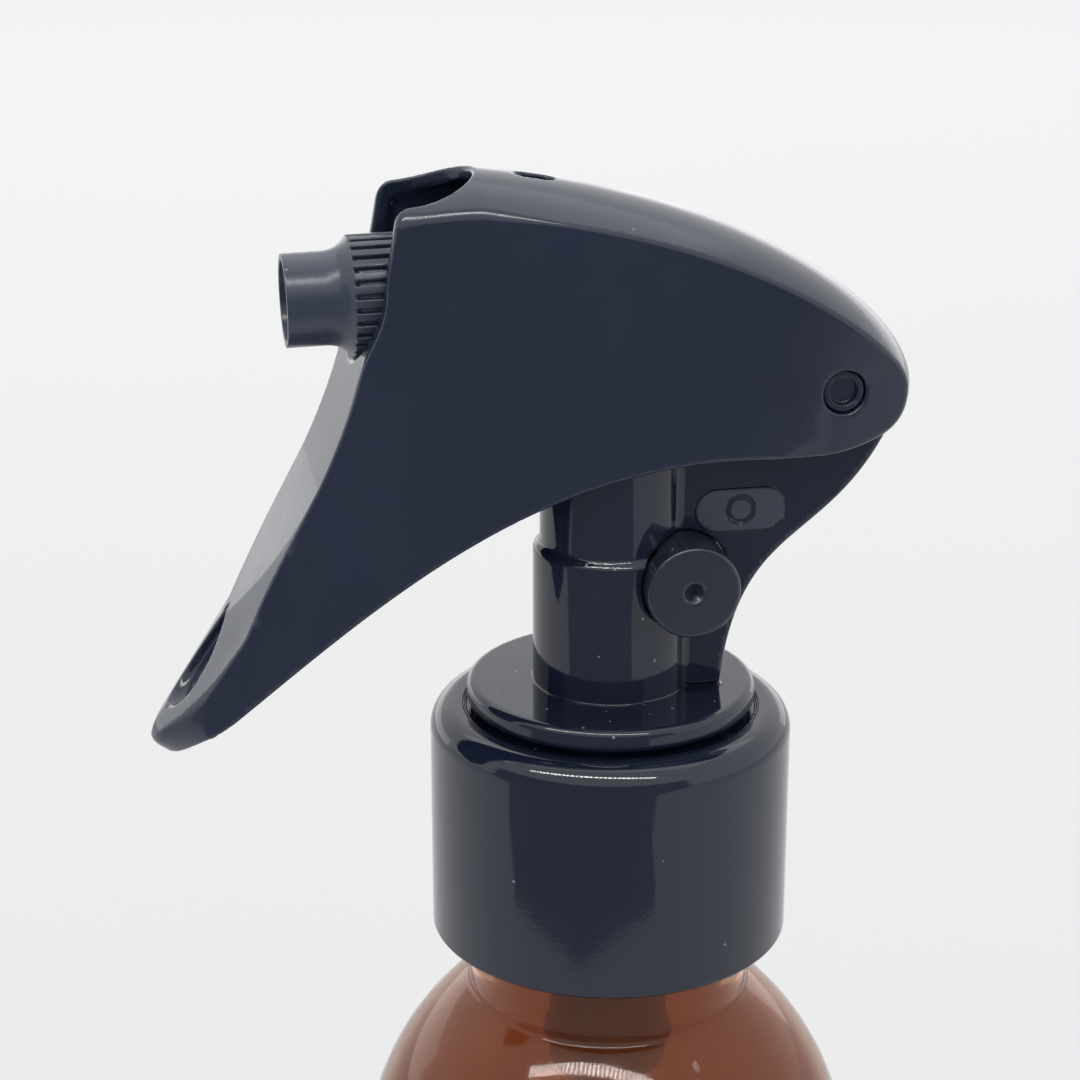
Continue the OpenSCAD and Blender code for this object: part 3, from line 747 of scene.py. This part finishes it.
nozzle_outline = path(
    (BARREL_R + 0.05, S_BACK), (GRIP_R - 0.25, S_BACK), (GRIP_R, S_BACK + 0.25),
    curve((GRIP_R, S_GRIP - 0.2), (GRIP_R - 0.9, S_GRIP + 0.5), (FRONT_R + 0.02, S_FLARE - 1.1),
          (FRONT_R, S_FLARE), 14),
    (FRONT_R, S_FRONT), (FRONT_R - 0.5, S_FRONT), (FRONT_R - 0.65, S_WALL + 1), (0.35, S_WALL + 0.8),
    (0.35, S_WALL), (TIP_R + 0.05, S_WALL), (TIP_R + 0.05, 3.2), (BARREL_R + 0.05, 3.2))
nozzle_d = Outline(nozzle_outline, (-0.6, -2.0), (6.6, 14.0), 0.08)


def nozzle_field(x, y, h):
    """The nozzle turned from its outline, with grooves round the grip."""
    along, a, b = nozzle_axes(x, y, h)
    r = np.hypot(a, b)
    body = nozzle_d(r, along) - 0.02        # a hair outside the outline, for softer corners
    angle = np.arctan2(b, a)
    pitch = 2 * math.pi / RIBS
    off = (angle / pitch - np.round(angle / pitch)) * pitch * GRIP_R
    depth = GROOVE_DEPTH * smooth(S_GRIP, S_GRIP - 0.7, along)
    groove = both(np.abs(off) - GROOVE_HALF, (GRIP_R - depth) - r, 0.1)
    return cut(body, groove, 0.14)


def spout_field(x, y, h):
    """The hub on the stem, the barrel and its thinner tip, and the peg across them."""
    along, a, b = nozzle_axes(x, y, h)
    hub = both(np.hypot(x, y) - HUB_R, np.abs(h - HUB_H) - HUB_HALF, 0.6)
    barrel = both(rod(a, b, BARREL_R), np.abs(along + 8.8) - 11.8, 0.2)
    tip = both(rod(a, b, TIP_R), np.abs(along - 4.7) - 4.7, 0.2)
    body = joined(joined(hub, barrel, 0.9), tip, 0.15)
    peg = both(rod(x, h - PEG_H, PEG_R), np.abs(y) - PEG_HALF, 0.25)
    body = joined(body, peg, 0.3)
    body = cut(body, np.maximum(np.hypot(x, y) - STEM_SOCKET_R, h - STEM_SOCKET_END), 0.1)
    return cut(body, np.maximum(rod(a, b, SPOUT_BORE_R), 6.4 - along), 0.1)


def nozzle_and_spout():
    axes = (grid(-28.6, -14.9, 0.17), grid(-5.6, 5.6, 0.17), grid(53.9, 65.4, 0.17))
    piece("nozzle_moulding", "nozzle", NOZZLE_BLACK, ["nozzle"],
          carved(nozzle_field, axes, bend=30))
    axes = (grid(-26.0, 4.8, 0.34), grid(-6.6, 6.6, 0.34), grid(45.5, 64.2, 0.34))
    piece("spout_moulding", "stem", BODY_BLACK, ["spout"],
          carved(spout_field, axes))


def button_field(x, y, h):
    """A round plug with a small cone sunk in its face, and a flat that clears the stem."""
    r = np.hypot(x - BUTTON[0], h - BUTTON[1])
    middle, half = (button_low.y + button_high.y) / 2, (button_high.y - button_low.y) / 2
    body = both(r - BUTTON_R, np.abs(y - middle) - half, 0.35)
    cone = (r - DIMPLE_R + (y - button_low.y) * DIMPLE_SLOPE) / math.hypot(1, DIMPLE_SLOPE)
    body = cut(body, cone, 0.12)
    flat = np.maximum(np.maximum(x - FLAT_X, FLAT_FRONT - y), y - FLAT_REAR)
    return np.maximum(body, -flat)


def lock_button():
    axes = (grid(button_low.x - 0.5, button_high.x + 0.5, 0.2),
            grid(button_low.y - 0.5, button_high.y + 0.5, 0.2),
            grid(button_low.z - 0.5, button_high.z + 0.5, 0.2))
    piece("lock_button_moulding", "lock", BUTTON_BLACK, ["lock_button"],
          carved(button_field, axes))


def hinge_pin():
    """A pin with a shallow cup in both ends."""
    half, floor_y = PIN_HALF, PIN_HALF - CUP_DEPTH
    low_end = [(0, -floor_y, 0), (CUP_R - 0.1, -floor_y, 0.15), (CUP_R, -half, 0.12),
               (PIN_R, -half, 0.25)]
    corners = low_end + [(r, -y, fillet) for r, y, fillet in reversed(low_end)]
    shape = merged(*turned(filled(rounded(corners, False), 0.6, False), 64, closed=False))
    piece("hinge_pin_moulding", "trigger", SHELL_BLACK, ["hinge_pin"],
          laid(shape, (HINGE[0], 0, HINGE[1]), (0, 1, 0)))


# ---------------------------------------------------------------- closure
THREAD_PITCH = 4.23
CAP_THREAD = dict(start=1.48, turns=1.16, pitch=THREAD_PITCH, root=2.2, height=0.95)
NECK_THREAD = dict(start=3.6, turns=1.33, pitch=THREAD_PITCH, root=2.5, height=0.88)
CAP_BORE_R = 14.0
RECESS_R, RECESS_H, HOLE_R, ROOF_H = 13.06, 21.0, 11.0, 18.6
OUTER_R = CLOSURE_R + 0.15


def thread(angle, s, start, turns, pitch, root, height):
    """Height of a screw ridge over a cylinder, at a turn and a height s."""
    best = 0 * (angle + s)
    lap = pitch / (2 * math.pi)
    for k in range(int(turns) + 2):
        turn = angle + 2 * math.pi * k
        middle = start + lap * turn
        ends = smooth(0, 0.7, turn) * smooth(turns * 2 * math.pi, turns * 2 * math.pi - 0.7, turn)
        best = np.maximum(best, height * ends * smooth(root / 2, root / 4, np.abs(s - middle)))
    return best


def cap_thread(angle, r, s):
    """The ridge inside the closure's bore."""
    inner = np.where((np.abs(r - CAP_BORE_R) < 0.01) & (s < 18), 1.0, 0.0)
    return inner * thread(np.mod(angle, 2 * math.pi), s, **CAP_THREAD)


def closure():
    """A smooth cap with a recess in its top round the hole for the pump body."""
    corners = [(CAP_BORE_R, 0, 0.25), (OUTER_R, 0, 0.35), (OUTER_R, CLOSURE_H, 2.25),
               (RECESS_R, CLOSURE_H, 0.35), (RECESS_R, RECESS_H, 0.25), (HOLE_R, RECESS_H, 0.15),
               (HOLE_R, ROOF_H, 0.15), (CAP_BORE_R, ROOF_H, 0.5)]
    rows = filled(rounded(corners), 0.4 * COARSE)
    piece("closure_moulding", "closure", CLOSURE_BLACK, ["closure"],
          turned(rows, 240, cap_thread))


# ---------------------------------------------------------------- bottle
NECK_R, NECK_BORE_R = 12.7, 10.6
BODY_BORE_R = 22.1
SEAM_HEIGHT, SEAM_HALF = 0.05, 0.35


def bottle_skin(angle, r, s):
    """The neck's thread and the faint parting line of the blow mould."""
    neck = np.where((np.abs(r - NECK_R) < 0.01) & (s > 0.5), 1.0, 0.0)
    ridge = neck * thread(np.mod(angle, 2 * math.pi), s, **NECK_THREAD)
    outer = np.where((r > 15) & (s < -6) & (s > BOTTLE_FLOOR + 4), 1.0, 0.0)
    away = np.abs(np.mod(angle - 0.35, math.pi) - math.pi / 2)
    seam = np.maximum(0, 1 - (away * BOTTLE_R / SEAM_HALF) ** 2)
    return ridge + SEAM_HEIGHT * outer * seam


def bottle():
    """A thin-walled bottle whose base is pushed up in the middle."""
    z = BOTTLE_FLOOR
    outer = [(0, z + 2.3, 0), (12.5, z + 2.0, 8), (16.8, z, 1.6), (BOTTLE_R, z, 4),
             (BOTTLE_R, -14.6, 26), (NECK_R, -6.2, 1.3), (NECK_R, NECK_TOP, 0.35)]
    inner = [(NECK_BORE_R, NECK_TOP, 0.35), (NECK_BORE_R, -5.65, 3), (BODY_BORE_R, -15.03, 25.1),
             (BODY_BORE_R, z + 1.0, 3.2), (17.2, z + 1.0, 1.4), (12.8, z + 3.2, 7), (0, z + 3.5, 0)]
    rows = filled(rounded(outer + inner, False), 0.75 * COARSE, False)
    shape = merged(*turned(rows, 168, bottle_skin, False))
    piece("bottle_blown", "bottle", AMBER, ["bottle"], shape)


# ---------------------------------------------------------------- carried-over CAD nodes
def carried_over():
    finish = {
        NATURAL: ["pump_cylinder", "stem_guide", "piston_rod", "piston", "ball_cage", "swirl_insert"],
        TUBE: ["dip_tube"], FOAM: ["gasket", "vent_seal"], RUBBER: ["nozzle_seal"],
        SPRING: ["return_spring"], BALL: ["inlet_ball", "outlet_ball"],
    }
    for material, nodes in finish.items():
        for node in nodes:
            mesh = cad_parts[node].data
            mesh.materials.clear()
            mesh.materials.append(material)


# ---------------------------------------------------------------- stage
def area_light(name, place, target, size, power):
    lamp = bpy.data.lights.new(name, "AREA")
    lamp.shape = "RECTANGLE"
    lamp.size, lamp.size_y = size
    lamp.energy = power
    obj = bpy.data.objects.new(name, lamp)
    obj.location = place
    obj.rotation_euler = (Vector(target) - Vector(place)).to_track_quat("-Z", "Y").to_euler()
    bpy.context.scene.collection.objects.link(obj)


def plain_mesh(name, corners, faces, material):
    """A flat piece of the set, which isn't part of the object."""
    mesh = bpy.data.meshes.new(name)
    mesh.from_pydata([tuple(c) for c in corners], [], faces)
    mesh.materials.append(material)
    obj = bpy.data.objects.new(name, mesh)
    bpy.context.scene.collection.objects.link(obj)
    return obj


def shown_in_reflections(obj):
    """Hides a piece of the set from the camera and keeps its shadow off the floor."""
    obj.visible_camera = False
    obj.visible_diffuse = False
    obj.visible_shadow = False


def glowing(name, colour, strength):
    """A plain material that gives light."""
    material = bpy.data.materials.new(name)
    material.use_nodes = True
    shader = material.node_tree.nodes["Principled BSDF"].inputs
    shader["Emission Color"].default_value = (*colour, 1)
    shader["Emission Strength"].default_value = strength
    return material


def floor():
    """Pale paper, with painted light making it a little brighter far behind the object."""
    look = Look("floor_paper", Specular_IOR_Level=0.0)
    paper = look.blend(look.noise(3, 3), (0.635, 0.635, 0.635), (0.66, 0.66, 0.66))
    far = look.node("SeparateXYZ", {"Vector": look.place}).outputs[1]
    # painted light: the paper's colour turns lighter from 0.35 m to 1.1 m behind the object
    look.set("Base Color", look.blend(look.span(far, 0.35, 1.1, 0, 1), paper, (0.7, 0.7, 0.7)))
    look.set("Roughness", look.span(look.noise(40), 0.3, 0.7, 0.7, 0.85))
    look.bump(look.noise(900, 2), 0.05)
    half = 6.0
    plain_mesh("floor", [(-half, -half, 0), (half, -half, 0), (half, half, 0), (-half, half, 0)],
               [(0, 1, 2, 3)], look.material)


def light_tent():
    """Even white light from all round, and a weak lamp overhead."""
    world = bpy.data.worlds.new("studio")
    world.use_nodes = True
    world.node_tree.nodes["Background"].inputs["Color"].default_value = (0.99, 0.995, 1.0, 1)
    world.node_tree.nodes["Background"].inputs["Strength"].default_value = 1.18
    bpy.context.scene.world = world
    area_light("overhead", (0.1, 0.6, 1.5), (0, 0, 0.1), (1.8, 1.4), 5)


def flag():
    """A grey cloth on the floor in front of the object, for the dark middle reflection."""
    grey = Look("flag_cloth")
    grey.set("Base Color", grey.blend(grey.noise(4, 3), (0.17, 0.175, 0.19), (0.25, 0.255, 0.27)))
    grey.set("Roughness", grey.span(grey.noise(60), 0.3, 0.7, 0.8, 0.95))
    # rings further and further out; their ends wave a little, and past 1 m the cloth rises
    corners, quads = [], []
    for k in range(25):
        r = 0.2 * 1.11**k
        turn_left = math.radians(-74 - min(12, 20 * (r - 0.2)) + 2.5 * math.sin(k * 1.9))
        turn_right = math.radians(15 + min(22, 30 * (r - 0.2)) + 2.5 * math.sin(k * 2.3))
        for i in range(9):
            turn = turn_left + (turn_right - turn_left) * i / 8
            far = r * (1.07 + 0.1 * abs(i / 4 - 1)) if k == 0 else r * 1.07
            corners.append((far * math.sin(turn), -far * math.cos(turn), 0.002 + 0.9 * max(0, r - 1)))
            if k and i:
                quads.append((9 * k + i, 9 * k + i - 1, 9 * k + i - 10, 9 * k + i - 9))
    shown_in_reflections(plain_mesh("flag", corners, quads, grey.material))


def lamp_row():
    """A row of small lamps high in front, for the fine dotted highlights."""
    glow = glowing("lamp_row", (1, 0.99, 0.97), 36)
    count, spacing, half_width, half_height = 31, 0.048, 0.012, 0.06
    middle, along = Vector((-0.30, -0.52, 1.25)), Vector((0.93, -0.37, 0))
    side = Vector((0.25, 0.62, 0.74))
    corners, quads = [], []
    for k in range(count):
        centre = middle + along * spacing * (k - (count - 1) / 2)
        quads.append(tuple(4 * k + i for i in range(4)))
        corners += [centre + along * u * half_width + side * v * half_height
                    for u, v in ((-1, -1), (-1, 1), (1, 1), (1, -1))]
    shown_in_reflections(plain_mesh("lamp_row", corners, quads, glow))


def back_wall():
    """A low bright wall behind, for the light on the surfaces seen at a flat angle."""
    glow = glowing("back_wall", (0.98, 0.99, 1), 1.0)
    radius = 1.5
    corners = [(radius * math.sin(turn), radius * math.cos(turn), up)
               for turn in np.radians(np.linspace(-50, 50, 21)) for up in (0.01, 0.42)]
    quads = [(2 * k, 2 * k + 2, 2 * k + 3, 2 * k + 1) for k in range(20)]
    shown_in_reflections(plain_mesh("back_wall", corners, quads, glow))


def camera():
    """Looks down at the head, seen a little from the nozzle's side."""
    target = Vector((-6.41, 0, 143.985)) * MM
    turn, pitch = math.radians(-10.64), math.radians(19.61)
    back = Vector((math.sin(turn) * math.cos(pitch), -math.cos(turn) * math.cos(pitch), math.sin(pitch)))
    data = bpy.data.cameras.new("camera")
    data.lens = 88.63
    data.sensor_width = 36
    data.clip_start = 0.01
    obj = bpy.data.objects.new("camera", data)
    obj.location = target + back * 0.2321
    obj.rotation_euler = (-back).to_track_quat("-Z", "Y").to_euler()
    bpy.context.scene.collection.objects.link(obj)
    bpy.context.scene.camera = obj


camera()
floor()
light_tent()
flag()
lamp_row()
back_wall()
bpy.context.scene.view_settings.view_transform = "Standard"
trigger_shell()
pump_body()
nozzle_and_spout()
lock_button()
hinge_pin()
closure()
bottle()
carried_over()
